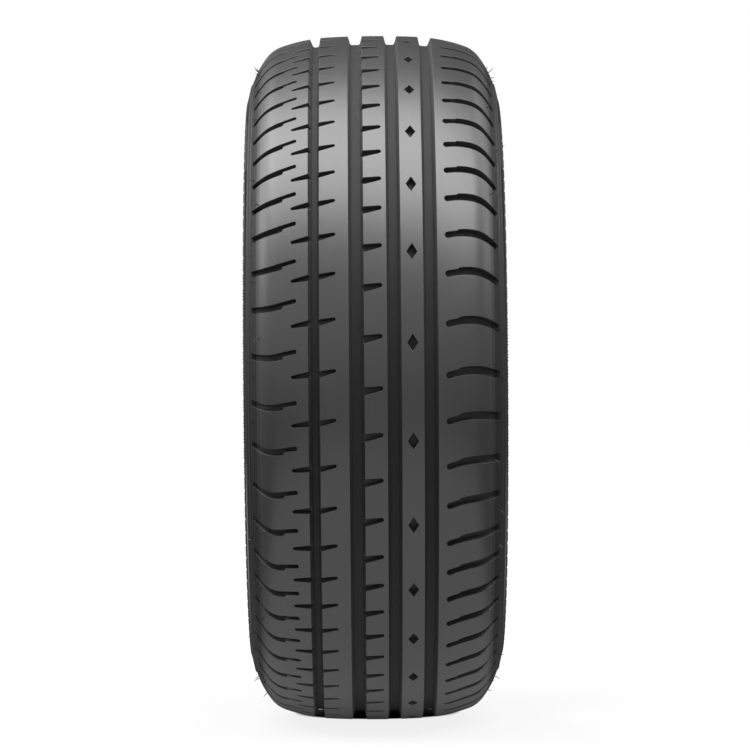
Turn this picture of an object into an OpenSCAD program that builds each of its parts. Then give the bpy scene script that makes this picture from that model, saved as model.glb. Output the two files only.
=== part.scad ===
// Road tyre for a passenger car, standing upright on its tread.
// The axle line is the Y axis and the middle of the tyre is the origin. A place
// on the tyre is given by three sizes: an axial place along +Y (the outboard
// side), a radius from the axle line, and an angle from +X that turns up to +Z.

/* [Overall size] */
// Height of the tyre from the bead seat to the middle of the tread
section_h = 98.7; // [91.5:0.1:107]
// Width between the widest points of the two sidewalls
section_w = 229; // [222:1:240]
// Height of the widest point above the bead seat
widest_h = 37; // [33:0.5:41]

/* [Beads] */
// Diameter of the seats that press onto the rim
seat_d = 436.6; // [400:0.1:490]
// Distance between the two outer bead faces, which is the width of the rim
rim_w = 190.5; // [184:0.5:196]
// Length of the cylindrical land of each seat
seat_land = 6; // [5:0.5:7]
// Width of each bead, from its outer face to its toe
bead_w = 18.5; // [17:0.5:21]
// Slope of the seat between its land and its toe, in degrees
toe_slope = 6; // [4:0.5:8]
// Rounding of the toe
toe_r = 1.5; // [1:0.1:2]
// Rounding of the heel, between the seat and the bead face
heel_r = 5; // [4:0.5:6]
// Height of the flat ring on the bead face, above the heel
face_h = 5.5; // [4:0.5:7]
// Height of the bead's foot on the inside
bead_foot_h = 6; // [4:0.5:8]

/* [Rim guard] */
// Height of the guard's tip above the bead seat
guard_h = 22.5; // [21:0.5:25]
// Width of the guard's flat tip
guard_tip_w = 4; // [3:0.5:6]
// How far the guard's tip stands out past the bead face
guard_out = 18.05; // [16:0.05:20]
// Depth of the hollow above the guard
guard_hollow = 1.6; // [1:0.1:2.5]
// Depth of the hollow below the guard, where the flange of the rim lies
flange_hollow = 4; // [3:0.1:5]

/* [Wall thickness] */
// Rubber and belts under the middle of the tread, with the tread itself
crown_t = 16.5; // [15:0.5:20]
// Sidewall at its widest point
wall_t = 8.5; // [7:0.5:10]
// Bead at the top of its foot
bead_t = 13; // [11:0.5:15]
// Bulge of the bead's foot
foot_bow = 1.2; // [0.5:0.1:2]
// Hollow of the inside, between the bead and the widest point
liner_hollow = 4; // [3:0.1:5]
// How far the inside's corners lie below and above the ones outside
liner_shift = 3; // [2:0.1:4]

/* [Tread profile] */
// Width of each shoulder, from the edge of the crown to the widest point
shoulder_w = 30; // [27:0.5:33]
// Radius of the crown curve across the tread
crown_r = 800; // [600:10:1200]
// Width of the outer part of the crown, which falls away faster
crown_fall_w = 42.5; // [38.5:0.5:46.5]
// Radius of that faster fall
crown_bend_r = 172; // [150:1:200]
// Radius of the shoulder rounding
shoulder_r = 28; // [25:0.5:30]
// Slope at which the shoulder passes into the sidewall, in degrees
shoulder_end = 52; // [48:1:55]

/* [Grooves] */
// Depth of the four grooves that run round the tread
groove_depth = 8; // [6.8:0.1:9]
// Lean of the groove walls, in degrees
groove_draft = 15; // [8:1:18]
// Chamfer at the foot of the groove walls
groove_foot = 1.1; // [0.8:0.1:1.5]
// Middle of groove 1, the narrow one on the inboard side
groove_1_a = -52.9; // [-54:0.1:-52]
// Width of groove 1 at its mouth
groove_1_w = 9.6; // [8:0.1:11]
// Middle of groove 2
groove_2_a = -16.3; // [-17.5:0.1:-15]
// Width of groove 2 at its mouth
groove_2_w = 12.8; // [11:0.1:14]
// Middle of groove 3
groove_3_a = 16; // [15:0.1:17]
// Width of groove 3 at its mouth
groove_3_w = 11.9; // [11:0.1:13]
// Middle of groove 4, on the outboard side
groove_4_a = 47.5; // [46.5:0.1:48.5]
// Width of groove 4 at its mouth
groove_4_w = 12; // [11:0.1:13]

/* [Pitches] */
// Length of a short pitch round the tread
pitch_short = 30; // [28:0.1:32]
// Length of a middle pitch
pitch_middle = 36.2; // [34:0.1:38]
// Length of a long pitch
pitch_long = 40; // [38:0.1:42]
// Length of the longest pitch
pitch_longest = 44.6; // [42:0.1:47]
// Angle at which the first pitch starts
pitch_start = 62.24; // [0:0.01:360]

/* [Shoulder slots] */
// Depth of the slots below the tread surface
slot_depth = 6.3; // [5:0.1:6.8]
// How far past the edge of the crown the shoulder slots run out
slot_run = 22; // [19.5:0.5:23.5]
// Width of a shoulder slot of the outboard side, where it is widest
out_slot_w = 7.2; // [6:0.1:8.5]
// Length of that slot, from its round tip to where it runs out
out_slot_l = 46.2; // [44:0.1:48]
// Radius of that tip
out_tip_r = 3.1; // [2.6:0.1:3.5]
// Length of the wider part of that slot, past its step
out_wide_l = 34.9; // [30:0.1:37]
// Height of that step
out_step = 1.1; // [0.6:0.1:1.6]
// How far the end of that slot lies below its tip, round the tyre
out_drop = 5.2; // [4:0.1:6.5]
// Bulge of that slot's lower edge
out_low_bow = 4.5; // [3.5:0.1:5]
// Bulge of that slot's upper edge
out_top_bow = 3.2; // [2.4:0.1:4]
// Width of a shoulder slot of the inboard side, where it is widest
in_slot_w = 6; // [5:0.1:7]
// Length of that slot, from its round tip to where it runs out
in_slot_l = 38.8; // [36:0.1:41]
// Radius of that tip
in_tip_r = 2.1; // [1.7:0.1:2.5]
// Length of the wider part of that slot, past its step
in_wide_l = 27.1; // [24:0.1:30]
// Height of that step
in_step = 2.4; // [1:0.1:3]
// How far the end of that slot lies above its tip, round the tyre
in_rise = 3; // [2:0.1:4]
// Hollow of that slot's upper edge
in_top_bow = 2.7; // [2:0.1:3.4]
// Hollow of that slot's lower edge
in_low_bow = 2.8; // [2:0.1:3.4]

/* [Notches] */
// Length of the notch that leaves groove 1 on its inboard side
notch_1_in_l = 14.8; // [12:0.1:17]
// Length of the notch that leaves groove 1 on its outboard side
notch_1_out_l = 14.1; // [12:0.1:17]
// Width of the notches at groove 1
notch_1_w = 5.6; // [4.5:0.1:6.5]
// Radius of the round tips of those notches
notch_1_tip_r = 1.55; // [1.2:0.05:1.8]
// How far the inboard notch drops from the groove to its tip
notch_1_drop = 2; // [1:0.1:3]
// How far the outboard notch rises from the groove to its tip
notch_1_rise = 2.9; // [2:0.1:4]
// Length of the notch that leaves groove 2 on its outboard side
notch_2_l = 15.9; // [13:0.1:18]
// Width of that notch at the groove
notch_2_w = 7; // [6:0.1:8]
// Radius of its round tip
notch_2_tip_r = 2; // [1.6:0.05:2.3]
// How far it rises from the groove to its tip
notch_2_rise = 2.7; // [2:0.1:3.6]

/* [Diamonds] */
// Length of a diamond pocket round the tyre
diamond_l = 15.4; // [13:0.1:18]
// Width of a diamond pocket across the tyre
diamond_w = 9.2; // [7:0.1:11]

/* [Sidewall rings] */
// Axial distance of the fine groove from the end of the slots
edge_line_gap = 3.1; // [2:0.1:4.5]
// Width of that fine groove
edge_line_w = 1.3; // [0.8:0.1:1.6]
// Height of the raised rings
ring_h = 0.8; // [0.5:0.1:1.2]
// Width of the raised rings
ring_w = 2; // [1.5:0.1:3]
// Height of the upper ring above the bead seat
upper_ring_h = 53; // [52:0.5:54]
// Height of the lower ring above the bead seat
lower_ring_h = 41.5; // [41:0.5:43]

/* [Hidden] */

// Order of the pitches round the tyre, in pairs of two equal ones: S short,
// M middle, L long and X longest
pitch_order = "SSSMXLMSSSSSMXLMSSSSMXXLMSSSS";
// Angles by which the other rows lie below the outboard shoulder slots
in_lag = 4.6;
notch_1_lag = 4.2;
notch_2_lag = 2.45;
diamond_lag = 3.15;
// How far the tips and mouths of the slots lie off their own lines
out_tip_drop = 0.9;
in_tip_rise = 1;
notch_1_mid = 0.9;
notch_1_step = 0.4;
notch_2_mid = 1.2;
// How much wider a shoulder slot is at its step than at its tip
out_neck = 2;
in_neck = 1.7;
// Lean of the steps, and what the slots gain in width past the shoulder
step_lean = 0.4;
end_flare = 0.6;
// Place of the bend in the inboard slot's upper edge, and turn of its tip
in_bend = 4.6;
in_bend_drop = 0.9;
in_tip_turn = 12;
// Half of the angle that the round ends turn through
end_half = 84;
// Spare length of the cutters, above the tread and past the shoulder, and half
// their reach round the tyre
clear = 5;
slot_past = 3;
slot_reach = 20;

seat_r = seat_d / 2;
tread_r = seat_r + section_h;
face_a = rim_w / 2;
widest_a = section_w / 2;
widest_r = seat_r + widest_h;
crown_half_w = widest_a - shoulder_w;
crown_bend_a = crown_half_w - crown_fall_w;
slot_end_a = crown_half_w + slot_run;
edge_line_a = slot_end_a + edge_line_gap;

// Axial places where the flats that make up the crown meet: one in each groove,
// and two on each shoulder rib
rib_a = -groove_1_a - groove_1_w / 4;
rib_step = (crown_half_w - rib_a) / 3;
crown_joints = [0, groove_3_a, rib_a, rib_a + rib_step, rib_a + 2 * rib_step];

// How far a place lies past another, and the radius and slope of the crown there
function past(a, from) = max(0, abs(a) - from);
function crown(a) = tread_r - a * a / (2 * crown_r) - pow(past(a, crown_bend_a), 2) / (2 * crown_bend_r);
function crown_slope(a) = atan(a / crown_r + past(a, crown_bend_a) / crown_bend_r);

// Points on a round stretch, from angle a0 to angle a1
function on_circle(c, r, angle) = c + r * [cos(angle), sin(angle)];
function arc(c, r, a0, a1, n) = [for (i = [0:n]) on_circle(c, r, a0 + (a1 - a0) * i / n)];

// Points on the arc from p to q that bulges by sag to the left of the way
function bow(p, q, sag, n) =
    let (
        d = q - p,
        half = norm(d) / 2,
        r = (half * half + sag * sag) / (2 * sag),
        side = [-d[1], d[0]] / norm(d),
        c = (p + q) / 2 + side * (sag - r),
        a0 = heading(c, p),
        turn = -2 * asin(half / abs(r)) * sign(sag)
    )
    arc(c, abs(r), a0, a0 + turn, n);

// Direction of the straight way from p to q
function heading(p, q) = atan2((q - p)[1], (q - p)[0]);

// Points on the arc that leaves p in the direction aim and ends at q, and the
// direction in which that arc ends
function leave(p, aim, q, n) = bow(p, q, -norm(q - p) / 2 * tan((heading(p, q) - aim) / 2), n);
function arrive(p, aim, q) = 2 * heading(p, q) - aim;

function swap(points) = [for (p = points) [p[1], p[0]]];
function flip(points) = [for (i = [len(points) - 1:-1:0]) [-points[i][0], points[i][1]]];
function tail(points) = [for (i = [1:len(points) - 1]) points[i]];

// Half section of the outside, as axial place and radius, from the crown down
shoulder_start = crown_slope(crown_half_w);
shoulder_c = [crown_half_w, crown(crown_half_w)] - shoulder_r * [sin(shoulder_start), cos(shoulder_start)];
wall_top = shoulder_c + shoulder_r * [sin(shoulder_end), cos(shoulder_end)];
widest = [widest_a, widest_r];
guard_a = face_a + guard_out;
guard_r = seat_r + guard_h;
face_top = [face_a, seat_r + heel_r + face_h];
crown_points = [for (a = crown_joints) [a, crown(a)]];
shoulder_points = arc(shoulder_c, shoulder_r, 90 - shoulder_start, 90 - shoulder_end, 4);
upper_wall = leave(wall_top, -shoulder_end, widest, 5);
lower_wall = bow(widest, [guard_a, guard_r + guard_tip_w], -guard_hollow, 4);
flange_seat = bow([guard_a, guard_r], face_top, -flange_hollow, 6);
heel_points = arc([face_a - heel_r, seat_r + heel_r], heel_r, 0, -90, 4);

// Half section of the bead's toe and of the inside, from the seat up
land_end = [face_a - heel_r - seat_land, seat_r];
toe_a = face_a - bead_w;
toe_c = [toe_a + toe_r, seat_r - (land_end[0] - toe_a) * tan(toe_slope) + toe_r];
foot_top = [toe_a, seat_r + bead_foot_h];
bead_top = [guard_a - bead_t - wall_t, guard_r - liner_shift];
liner_widest = [widest_a - wall_t, widest_r + liner_shift];
liner_crown = [crown_half_w - crown_t, crown(crown_half_w - crown_t) - crown_t];
liner_mid = [0, tread_r - crown_t];
toe_points = arc(toe_c, toe_r, -90, -180, 3);
foot_points = bow(foot_top, bead_top, foot_bow, 4);
lower_liner = bow(bead_top, liner_widest, -liner_hollow, 6);
liner_aim = arrive(liner_mid, 0, liner_crown);
upper_liner = leave(liner_crown, liner_aim, liner_widest, 8);
crown_liner = leave(liner_mid, 0, liner_crown, 4);
inside = concat(
    [land_end], toe_points, foot_points, tail(lower_liner),
    tail([for (i = [len(upper_liner) - 1:-1:0]) upper_liner[i]]),
    tail([for (i = [len(crown_liner) - 1:-1:0]) crown_liner[i]])
);

// Where a radius meets the upper sidewall, and where an axial place does
function wall_a(r) = lookup(r, [for (i = [len(upper_wall) - 1:-1:0]) [upper_wall[i][1], upper_wall[i][0]]]);
function wall_r(a) = lookup(a, upper_wall);

// Raised ring and fine groove on the upper sidewall, from the top down
function on_wall(r, up, out) = [wall_a(r + up) + out, r + up];
function ring_points(r) =
    let (top = ring_w / 2, foot = top + ring_h / 2)
    [on_wall(r, foot, 0), on_wall(r, top, ring_h), on_wall(r, -top, ring_h), on_wall(r, -foot, 0)];
function line_points(r) =
    let (half = edge_line_w / 2)
    [on_wall(r, half, 0), on_wall(r, 0, -half), on_wall(r, -half, 0)];

// Puts such a feature in its place among the points of a wall that runs down
function insert(points, feature) = concat(
    [for (p = points) if (p[1] > feature[0][1]) p],
    feature,
    [for (p = points) if (p[1] < feature[len(feature) - 1][1]) p]
);
plain_wall = tail(upper_wall);
lined_wall = insert(plain_wall, line_points(wall_r(edge_line_a)));
ringed_wall = insert(lined_wall, ring_points(seat_r + upper_ring_h));
full_wall = insert(ringed_wall, ring_points(seat_r + lower_ring_h));
outside = concat(crown_points, shoulder_points, full_wall, tail(lower_wall), flange_seat, heel_points);

// Angles of the pitches round the tread, counted downwards from the start
function pair_length(i) =
    pitch_order[i] == "S" ? pitch_short
    : pitch_order[i] == "M" ? pitch_middle
    : pitch_order[i] == "L" ? pitch_long
    : pitch_longest;
pairs = len(pitch_order);
function lengths_before(k) = k == 0 ? 0 : lengths_before(k - 1) + pair_length(floor((k - 1) / 2));
pitch_total = lengths_before(2 * pairs);
function pitch_angle(k) = pitch_start - 360 * lengths_before(k) / pitch_total;
function pitch_middle_angle(k) = (pitch_angle(k) + pitch_angle(k + 1)) / 2;

// Turns a section, drawn as radius and axial place, round the axle line
module spin() {
    rotate([-90, 0, 0]) rotate_extrude($fn = 180) children();
}

// Stands a shape on the tyre at an angle: its x is the axial place, its y the
// way round the tyre and its z the radius
module at_angle(angle) {
    rotate([0, -angle, 0]) rotate([90, 0, 90]) children();
}

// Cutter with the given outline, from a floor radius out past the tread
module sink(floor_r) {
    translate([0, 0, floor_r]) linear_extrude(tread_r + clear - floor_r) children();
}

// Section of one groove, open above the tread
module groove_section(a, w) {
    top = crown(a) + clear;
    floor_r = crown(a) - groove_depth;
    wide = w / 2 + clear * tan(groove_draft);
    low = w / 2 - (groove_depth - groove_foot) * tan(groove_draft);
    polygon(swap([
        [a - wide, top], [a - low, floor_r + groove_foot], [a - low + groove_foot, floor_r],
        [a + low - groove_foot, floor_r], [a + low, floor_r + groove_foot], [a + wide, top]
    ]));
}

module grooves_section() {
    groove_section(groove_1_a, groove_1_w);
    groove_section(groove_2_a, groove_2_w);
    groove_section(groove_3_a, groove_3_w);
    groove_section(groove_4_a, groove_4_w);
}

module tyre_section() {
    difference() {
        polygon(swap(concat(outside, inside, flip(inside), flip(outside))));
        grooves_section();
    }
}

// Space above the floor of a shoulder slot: level under the crown, then falling
// until it runs out through the shoulder
module shoulder_space() {
    start_a = slot_end_a - max(out_slot_l, in_slot_l) - slot_past;
    end_r = wall_r(slot_end_a);
    edge_r = crown(crown_half_w) - slot_depth;
    fall = (edge_r - end_r) / slot_run;
    past_a = slot_end_a + clear;
    rotate([90, 0, 0])
        linear_extrude(2 * slot_reach, center = true)
            polygon([
                [start_a, crown(start_a) - slot_depth],
                [crown_half_w, edge_r], [past_a, end_r - fall * clear],
                [past_a, tread_r + 2 * clear], [start_a, tread_r + 2 * clear]
            ]);
}

// Round end of a slot, with its middle at tip: its points turn through most of
// a half circle, about the direction in which the end looks
function round_end(tip, r, looks, n) = arc(tip, r, looks - end_half, looks + end_half, n);

// Outline of a shoulder slot on the outboard side: round tip, step, long bow
module out_slot_outline() {
    tip = [slot_end_a - out_slot_l + out_tip_r, -out_tip_drop];
    end = round_end(tip, out_tip_r, 180, 3);
    low_end = [slot_end_a + slot_past, tip[1] - out_drop];
    top_end = low_end + [0, out_slot_w + end_flare];
    step_foot = [slot_end_a - out_wide_l, tip[1] + out_tip_r + out_neck];
    step_top = step_foot + [step_lean, out_step];
    polygon(concat(
        end,
        tail(bow(end[len(end) - 1], low_end, out_low_bow, 4)),
        bow(top_end, step_top, -out_top_bow, 4),
        [step_foot]
    ));
}

// Outline of a shoulder slot on the inboard side: a finer one, bowed the other way
module in_slot_outline() {
    tip = [in_slot_l - in_tip_r - slot_end_a, in_tip_rise];
    bend = [in_wide_l - in_bend - slot_end_a, tip[1] - in_bend_drop];
    top_end = [-slot_end_a - slot_past, tip[1] + in_rise];
    low_end = top_end - [0, in_slot_w + end_flare];
    step_foot = [in_wide_l - slot_end_a, tip[1] - in_tip_r - in_neck];
    step_low = step_foot - [step_lean, in_step];
    polygon(concat(
        round_end(tip, in_tip_r, -in_tip_turn, 3),
        bow(bend, top_end, in_top_bow, 3),
        bow(low_end, step_low, -in_low_bow, 3),
        [step_foot]
    ));
}

// Outline of the two notches that meet in groove 1
module notch_1_outline() {
    half = notch_1_w / 2;
    in_mouth = [groove_1_a - groove_1_w / 2, notch_1_mid];
    out_mouth = [groove_1_a + groove_1_w / 2, notch_1_mid + notch_1_step];
    in_tip = in_mouth - [notch_1_in_l - notch_1_tip_r, notch_1_drop];
    out_tip = out_mouth + [notch_1_out_l - notch_1_tip_r, notch_1_rise];
    polygon(concat(
        round_end(in_tip, notch_1_tip_r, heading(in_mouth, in_tip), 2),
        [in_mouth - [0, half], out_mouth - [0, half]],
        round_end(out_tip, notch_1_tip_r, heading(out_mouth, out_tip), 2),
        [out_mouth + [0, half], in_mouth + [0, half]]
    ));
}

// Outline of the notch that leaves groove 2
module notch_2_outline() {
    half = notch_2_w / 2;
    root = [groove_2_a, -notch_2_mid];
    mouth = root + [groove_2_w / 2, 0];
    tip = mouth + [notch_2_l - notch_2_tip_r, notch_2_rise];
    polygon(concat(
        [root + [0, half], root - [0, half], mouth - [0, half]],
        round_end(tip, notch_2_tip_r, heading(mouth, tip), 2)
    ));
}

module diamond_outline() {
    polygon([[-diamond_w / 2, 0], [0, -diamond_l / 2], [diamond_w / 2, 0], [0, diamond_l / 2]]);
}

module out_slot() {
    intersection() {
        sink(wall_r(slot_end_a) - clear) out_slot_outline();
        shoulder_space();
    }
}

module in_slot() {
    intersection() {
        sink(wall_r(slot_end_a) - clear) in_slot_outline();
        mirror([1, 0, 0]) shoulder_space();
    }
}

module slots() {
    rib_mid = (groove_3_a + groove_3_w / 2 + groove_4_a - groove_4_w / 2) / 2;
    for (k = [0:2 * pairs - 1]) {
        at_angle(pitch_angle(k)) out_slot();
        at_angle(pitch_angle(k) - in_lag) in_slot();
        at_angle(pitch_middle_angle(k) - notch_1_lag)
            sink(crown(groove_1_a) - slot_depth) notch_1_outline();
        at_angle(pitch_angle(k) - notch_2_lag)
            sink(crown(0) - slot_depth) notch_2_outline();
    }
    for (k = [0:pairs - 1])
        at_angle(pitch_angle(2 * k + 1) - diamond_lag)
            sink(crown(rib_mid) - slot_depth)
                translate([rib_mid, 0]) diamond_outline();
}

module tyre() {
    color([0.16, 0.16, 0.17])
        difference() {
            spin() tyre_section();
            slots();
        }
}

tyre();
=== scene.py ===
"""Looks of the car tyre: one moulded rubber body with its tread, sidewalls and beads."""

import math
import random

import bpy
import numpy as np
from mathutils import Matrix, Vector
from mathutils.geometry import delaunay_2d_cdt


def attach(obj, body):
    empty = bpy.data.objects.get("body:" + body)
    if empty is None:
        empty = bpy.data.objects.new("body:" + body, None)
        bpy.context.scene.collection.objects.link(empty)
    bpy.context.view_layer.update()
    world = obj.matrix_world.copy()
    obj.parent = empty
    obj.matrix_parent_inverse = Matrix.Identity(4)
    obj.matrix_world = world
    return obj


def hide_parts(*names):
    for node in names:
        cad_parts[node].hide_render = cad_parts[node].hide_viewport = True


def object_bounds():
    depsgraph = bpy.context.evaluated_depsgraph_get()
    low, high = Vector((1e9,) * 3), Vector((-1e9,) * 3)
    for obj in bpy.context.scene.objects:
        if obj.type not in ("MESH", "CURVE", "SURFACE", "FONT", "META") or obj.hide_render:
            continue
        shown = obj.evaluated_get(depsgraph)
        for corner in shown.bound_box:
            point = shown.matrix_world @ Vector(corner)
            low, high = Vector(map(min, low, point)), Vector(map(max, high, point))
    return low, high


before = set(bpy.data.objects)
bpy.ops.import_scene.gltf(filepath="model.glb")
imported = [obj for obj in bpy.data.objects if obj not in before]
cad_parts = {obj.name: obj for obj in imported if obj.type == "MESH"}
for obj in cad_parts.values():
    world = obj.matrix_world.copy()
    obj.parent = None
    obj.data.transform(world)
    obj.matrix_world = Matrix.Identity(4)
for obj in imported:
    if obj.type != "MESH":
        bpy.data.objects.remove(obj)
cad_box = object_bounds()

# Sizes of the tyre in millimetres, as in the part. In the names, R is a radius, A a place
# along the axle, H a height, W a width and T a thickness. TOE_SLOPE, SHOULDER_END and
# GROOVE_DRAFT are angles in degrees
MM = 0.001
TREAD_R = 317.0
SEAT_R = 218.3
FACE_A = 95.25
WIDEST_A = 114.5
WIDEST_H = 37.0
WIDEST_R = SEAT_R + WIDEST_H
SEAT_LAND = 6.0
BEAD_W = 18.5
TOE_SLOPE = 6.0
TOE_R = 1.5
HEEL_R = 5.0
FACE_H = 5.5
BEAD_FOOT_H = 6.0
BEAD_FOOT_BULGE = 1.2
BEAD_TOP_DROP = 3.0
GUARD_H = 22.5
GUARD_TIP_W = 4.0
GUARD_INSET = 1.2
GUARD_HOLLOW = 1.6
FLANGE_HOLLOW = 4.0
CROWN_T = 16.5
WALL_T = 8.5
BEAD_T = 13.0
LINER_RISE = 3.0
LINER_HOLLOW = 4.0
CROWN_HALF_W = 84.5
CROWN_R = 800.0
CROWN_BEND_A = 42.0
CROWN_BEND_R = 172.0
SHOULDER_R = 28.0
SHOULDER_END = 52.0
EDGE_LINE_A = 108.6
EDGE_LINE_W = 3.0
EDGE_LINE_DEPTH = 1.8
RING_H = 0.8
RING_W = 2.0
RING_HEIGHTS = (53.0, 41.5)

# Grooves round the tread: middle and mouth width
GROOVES = ((-52.9, 9.6), (-16.3, 12.8), (16.0, 11.9), (47.5, 12.0))
GROOVE_DEPTH = 8.0
GROOVE_DRAFT = 15.0
GROOVE_FOOT = 1.1

# Pitches round the tread, in pairs, and where the rows lie against them
PITCH_MM = {"S": 30.0, "M": 36.2, "L": 40.0, "X": 44.6}
PITCH_ORDER = "SSSMXLMSSSSSMXLMSSSSMXXLMSSSS"
PITCH_START = 62.24
IN_LAG = 4.6
NOTCH_1_LAG = 4.2
NOTCH_2_LAG = 2.45
DIAMOND_LAG = 3.15

# Slots: depth, where those of the shoulders run out, and from where on and by how much
# they grow shallower
SLOT_DEPTH = 6.3
SLOT_END_A = 106.5
SLOT_CUT_A = SLOT_END_A + 0.6
SLOT_FADE_A = 80.0
SLOT_FADE = 0.5

# Places in the outlines below are an axial place and a way round the tyre. The outboard
# shoulder slot: its round tip, the step behind it, and its two long edges
OUT_TIP = (63.4, -0.9)
OUT_TIP_R = 3.1
OUT_TIP_SPAN = (98, 262)
OUT_STEP = (71.6, 4.2)
OUT_STEP_RUN = (0.4, 1.1)
OUT_LOW_END = (109.5, -6.1)
OUT_END_W = 7.8
OUT_LOW_SAG = 4.5
OUT_TOP_SAG = -3.2

# The inboard shoulder slot, in the same way
IN_TIP = (-69.8, 1.0)
IN_TIP_R = 2.1
IN_TIP_SPAN = (-102, 78)
IN_STEP = (-79.4, -2.8)
IN_STEP_RUN = (0.4, 2.4)
IN_TOP_START = (-84.0, 0.1)
IN_TOP_END = (-109.5, 4.0)
IN_END_W = 6.6
IN_TOP_SAG = 2.7
IN_LOW_SAG = -2.8

# Notch across the first groove: how far its two arms reach out of the groove, where their
# round tips lie and what they span, and where its edges cross the groove's sides
NOTCH_1_RUNS = (14.8, 14.1)
NOTCH_1_TIP_R = 1.55
NOTCH_1_TIP_WAYS = (-1.1, 4.2)
NOTCH_1_TIP_SPANS = ((105, 267), (-71, 98))
NOTCH_1_LOW_WAYS = (-1.9, -1.5)
NOTCH_1_TOP_WAYS = (3.7, 4.1)

# Notch beside the second groove: its two edges, its reach and its round tip
NOTCH_2_WAYS = (-4.6, 2.2)
NOTCH_2_RUN = 13.9
NOTCH_2_TIP_R = 2.0
NOTCH_2_TIP_WAY = 1.6
NOTCH_2_TIP_SPAN = (-74, 96)

# Diamonds between the last two grooves: length round the tyre and width
DIAMOND_L = 15.4
DIAMOND_W = 9.2

# How deep a wall is at a distance inside the edge, as a share of the full depth
DRAFT = math.tan(math.radians(GROOVE_DRAFT))
WALL_FOOT = (GROOVE_DEPTH - GROOVE_FOOT) * DRAFT
SLOT_KNOTS = ((-0.2, 0.0), (0.02, 0.045), (0.38, 0.88), (0.95, 1.0))
GROOVE_KNOTS = (
    (-0.5, 0.0), (0.08, 0.06),
    (WALL_FOOT, 1 - GROOVE_FOOT / GROOVE_DEPTH), (WALL_FOOT + GROOVE_FOOT, 1.0),
)

# Fine radial ribs of the sidewalls, in two bands: lowest and highest radius,
# height, width, ribs in a group, ribs left out after it, and groups in the band
SERRATION_BANDS = (
    ("upper", 261.6, 269.5, 0.6, 1.5, 76, 27, 6),
    ("lower", 250.5, 260.5, 1.3, 2.5, 4, 1, 116),
)
SERRATION_SINK = 0.3

# Hairs left by the vents of the mould: their rows along the shoulder, how far they stray
# from an even spacing, their sizes, and their lean and rise as shares of their length
HAIR_COUNT = 46
HAIR_A = 105.5
HAIR_ROWS = (-4.5, 0, 3.5)
HAIR_STRAY_A = 0.5
HAIR_STRAY = 0.3
HAIR_R = 0.45
HAIR_TAPER = 0.45
HAIR_LENGTHS = (2.5, 7.0)
HAIR_LEAN = 1.0
HAIR_RISE = 0.35
HAIR_SHARES = (-0.12, 0.3, 0.65, 1.0)
HAIR_SIDES = 5
HAIR_SEED = 11

# Mesh of the tread: where it ends, its columns round the tyre and its sectors
STRIP_A = 107.6
COLUMNS = 240
SECTORS = 10
ROUND = 2 * math.pi * TREAD_R
COLUMN_STEP = ROUND / COLUMNS

# Rows of plain points on the ribs: their steps, from where on they lie closer, and the
# least gap between two rows
ROW_STEP = 5.0
CLOSE_ROW_STEP = 2.3
CLOSE_ROWS_A = CROWN_HALF_W - 3
ROW_GAP = 0.05

# How far around a slot its depth is worked out, how far plain points keep clear of it, and
# how far past the seam of the way round the slots are repeated
SLOT_NEAR = 2.5
SLOT_CLEAR = 1.1
SLOT_REACH = 60.0

# Painted shade and dullness, from the tread's smooth ribs at 0 to the groove floors at 1: the more of it,
# the darker the colour, a painted shade, and the rougher the rubber. Its value on the sidewalls, where it
# starts on the shoulders, and how fast it grows with the depth
WALL_SHADE_AND_DULL = 0.5
SHADE_AND_DULL_FROM_A = 98.0
SHADE_AND_DULL_GAIN = 1.6

# Sheen of the rubber by bands: from which axial place, and how strong. The second band's
# rubber is also at the bottom of the grooves, from a share of their depth on, and the last
# is the sidewalls'
SHEEN_BANDS = ((0.0, 1.0), (100.0, 0.65), (102.5, 0.25), (STRIP_A, 0.45))
GROOVE_BAND = 1
GROOVE_BAND_FROM = 0.8


def crown(a):
    """Radius of the tread's surface at an axial place."""
    past = np.maximum(0, np.abs(a) - CROWN_BEND_A)
    return TREAD_R - np.square(a) / (2 * CROWN_R) - np.square(past) / (2 * CROWN_BEND_R)


def arc(centre, r, start, end, n):
    """Points on a round stretch between two angles in degrees."""
    t = np.radians(np.linspace(start, end, n + 1))
    return np.array(centre) + r * np.stack([np.cos(t), np.sin(t)], 1)


def bow(p, q, sag, n):
    """Points on the arc from p to q that bulges by sag to the left of the way."""
    p, q = np.array(p, float), np.array(q, float)
    d = q - p
    half = np.linalg.norm(d) / 2
    r = (half * half + sag * sag) / (2 * sag)
    centre = (p + q) / 2 + np.array([-d[1], d[0]]) / (2 * half) * (sag - r)
    start = math.degrees(math.atan2(p[1] - centre[1], p[0] - centre[0]))
    turn = -2 * math.degrees(math.asin(half / abs(r))) * math.copysign(1, sag)
    return arc(centre, abs(r), start, start + turn, n)


def heading_of(d):
    return math.degrees(math.atan2(d[1], d[0]))


def leave(p, heading, q, n):
    """Points on the arc that leaves p in a direction and ends at q."""
    d = np.array(q, float) - np.array(p, float)
    off = heading_of(d) - heading
    return bow(p, q, -np.linalg.norm(d) / 2 * math.tan(math.radians(off / 2)), n)


def outer_section():
    """The outside from the middle of the crown to the widest place, as (axial, radius)."""
    slope = math.degrees(math.atan(CROWN_HALF_W / CROWN_R + (CROWN_HALF_W - CROWN_BEND_A) / CROWN_BEND_R))
    edge = np.array([CROWN_HALF_W, crown(CROWN_HALF_W)])
    centre = edge - SHOULDER_R * np.array([math.sin(math.radians(slope)), math.cos(math.radians(slope))])
    shoulder = arc(centre, SHOULDER_R, 90 - slope, 90 - SHOULDER_END, 14)
    wall = leave(shoulder[-1], -SHOULDER_END, (WIDEST_A, WIDEST_R), 60)
    crown_a = np.linspace(0, CROWN_HALF_W, 60)[:-1]
    return np.concatenate([np.stack([crown_a, crown(crown_a)], 1), shoulder, wall[1:]])


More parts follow.
